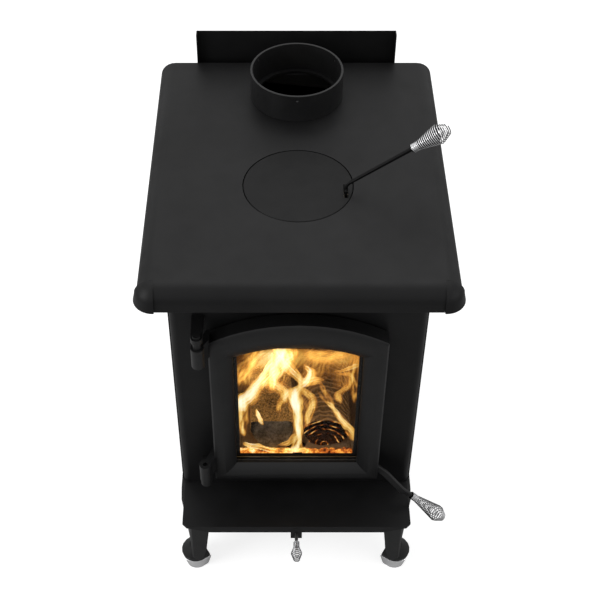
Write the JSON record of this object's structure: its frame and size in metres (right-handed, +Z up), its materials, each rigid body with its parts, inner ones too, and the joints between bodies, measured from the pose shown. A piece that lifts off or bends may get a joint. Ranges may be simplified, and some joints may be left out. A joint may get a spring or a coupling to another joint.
{
  "type": "wood stove",
  "caption": "Free-standing plate-steel wood stove with an arched glass door, cooking top with a lift-out lid, flue collar, rear heat shield, cast legs and coil-wire handles.",
  "frame": {"origin": "on the floor, under the middle of the whole stove's outline", "axes": "+Z up, +Y to the back, the door faces -Y, +X to the right seen from the front"},
  "size_m": [0.5202, 0.6894, 0.8284],
  "materials": {
    "black_paint": "matte high-heat black paint on steel plate",
    "cast_black": "matte high-heat black paint on iron castings",
    "nickel": "bright nickel plate",
    "bare_steel": "plain steel, heat-dulled",
    "glass_rope": "knitted glass-fibre rope",
    "fireclay": "fireclay, sooted",
    "baffle_fibre": "compressed ceramic fibre",
    "split_wood": "split firewood with bark",
    "fire_glass": "clear ceramic glass"
  },
  "bodies": {
    "stove": {"body_wrap": "black_paint", "front_plate": "black_paint", "floor_plate": "black_paint", "cooktop": "black_paint", "corner_cap_left": "black_paint", "corner_cap_right": "black_paint", "flue_collar": "cast_black", "lid_seat_ring": "cast_black", "rear_shield": "black_paint", "shield_screw_lower_left": "bare_steel", "shield_screw_lower_right": "bare_steel", "shield_screw_upper_left": "bare_steel", "shield_screw_upper_right": "bare_steel", "ash_lip": "black_paint", "leg_front_left": "cast_black", "leg_front_right": "cast_black", "leg_rear_left": "cast_black", "leg_rear_right": "cast_black", "toe_cap_front_left": "nickel", "toe_cap_front_right": "nickel", "toe_cap_rear_left": "nickel", "toe_cap_rear_right": "nickel", "leg_bolt_front_left": "bare_steel", "leg_bolt_front_right": "bare_steel", "leg_bolt_rear_left": "bare_steel", "leg_bolt_rear_right": "bare_steel", "hinge_lug_upper": "cast_black", "hinge_lug_lower": "cast_black", "hinge_pin_upper": "cast_black", "hinge_pin_lower": "cast_black", "hinge_spacer_upper": "cast_black", "latch_keeper": "bare_steel", "air_box": "black_paint", "air_bracket": "black_paint", "hearth_panel": "fireclay", "side_panel_left": "fireclay", "side_panel_right": "fireclay", "rear_panel": "fireclay", "burn_tubes": "bare_steel", "baffle_board": "baffle_fibre", "air_wash_plate": "bare_steel", "log_front": "split_wood", "log_rear": "split_wood"},
    "door": {"door_frame": "cast_black", "door_rope": "glass_rope", "glass_gasket": "glass_rope", "door_glass": "fire_glass", "glass_retainer": "bare_steel", "retainer_screw_lower_left": "bare_steel", "retainer_screw_lower_right": "bare_steel", "retainer_screw_upper_left": "bare_steel", "retainer_screw_upper_right": "bare_steel", "latch_bolt": "bare_steel"},
    "latch": {"door_latch": "cast_black", "latch_coil": "nickel"},
    "cook_lid": {"cook_lid": "cast_black"},
    "lid_lifter": {"lid_lifter": "cast_black", "lifter_coil": "nickel"},
    "air_control": {"air_slide": "bare_steel", "air_coil": "nickel"}
  },
  "joints": [
    {"name": "door_swing", "type": "hinge", "parent": "stove", "child": "door", "pos_m": [-0.16773, -0.24427, 0.4], "axis": [0, 0, -1], "range_deg": [0, 110]},
    {"name": "latch_turn", "type": "hinge", "parent": "door", "child": "latch", "pos_m": [0.12377, -0.22027, 0.233], "axis": [0, -1, 0], "range_deg": [-3, 40]},
    {"name": "lid_lift", "type": "slide", "parent": "stove", "child": "cook_lid", "axis": [0, 0, 1], "range_m": [0, 0.08]},
    {"name": "lifter_lift", "type": "slide", "parent": "cook_lid", "child": "lid_lifter", "axis": [0, 0, 1], "range_m": [0, 0.06]},
    {"name": "air_pull", "type": "slide", "parent": "stove", "child": "air_control", "axis": [0, -1, 0], "range_m": [0, 0.045]}
  ]
}
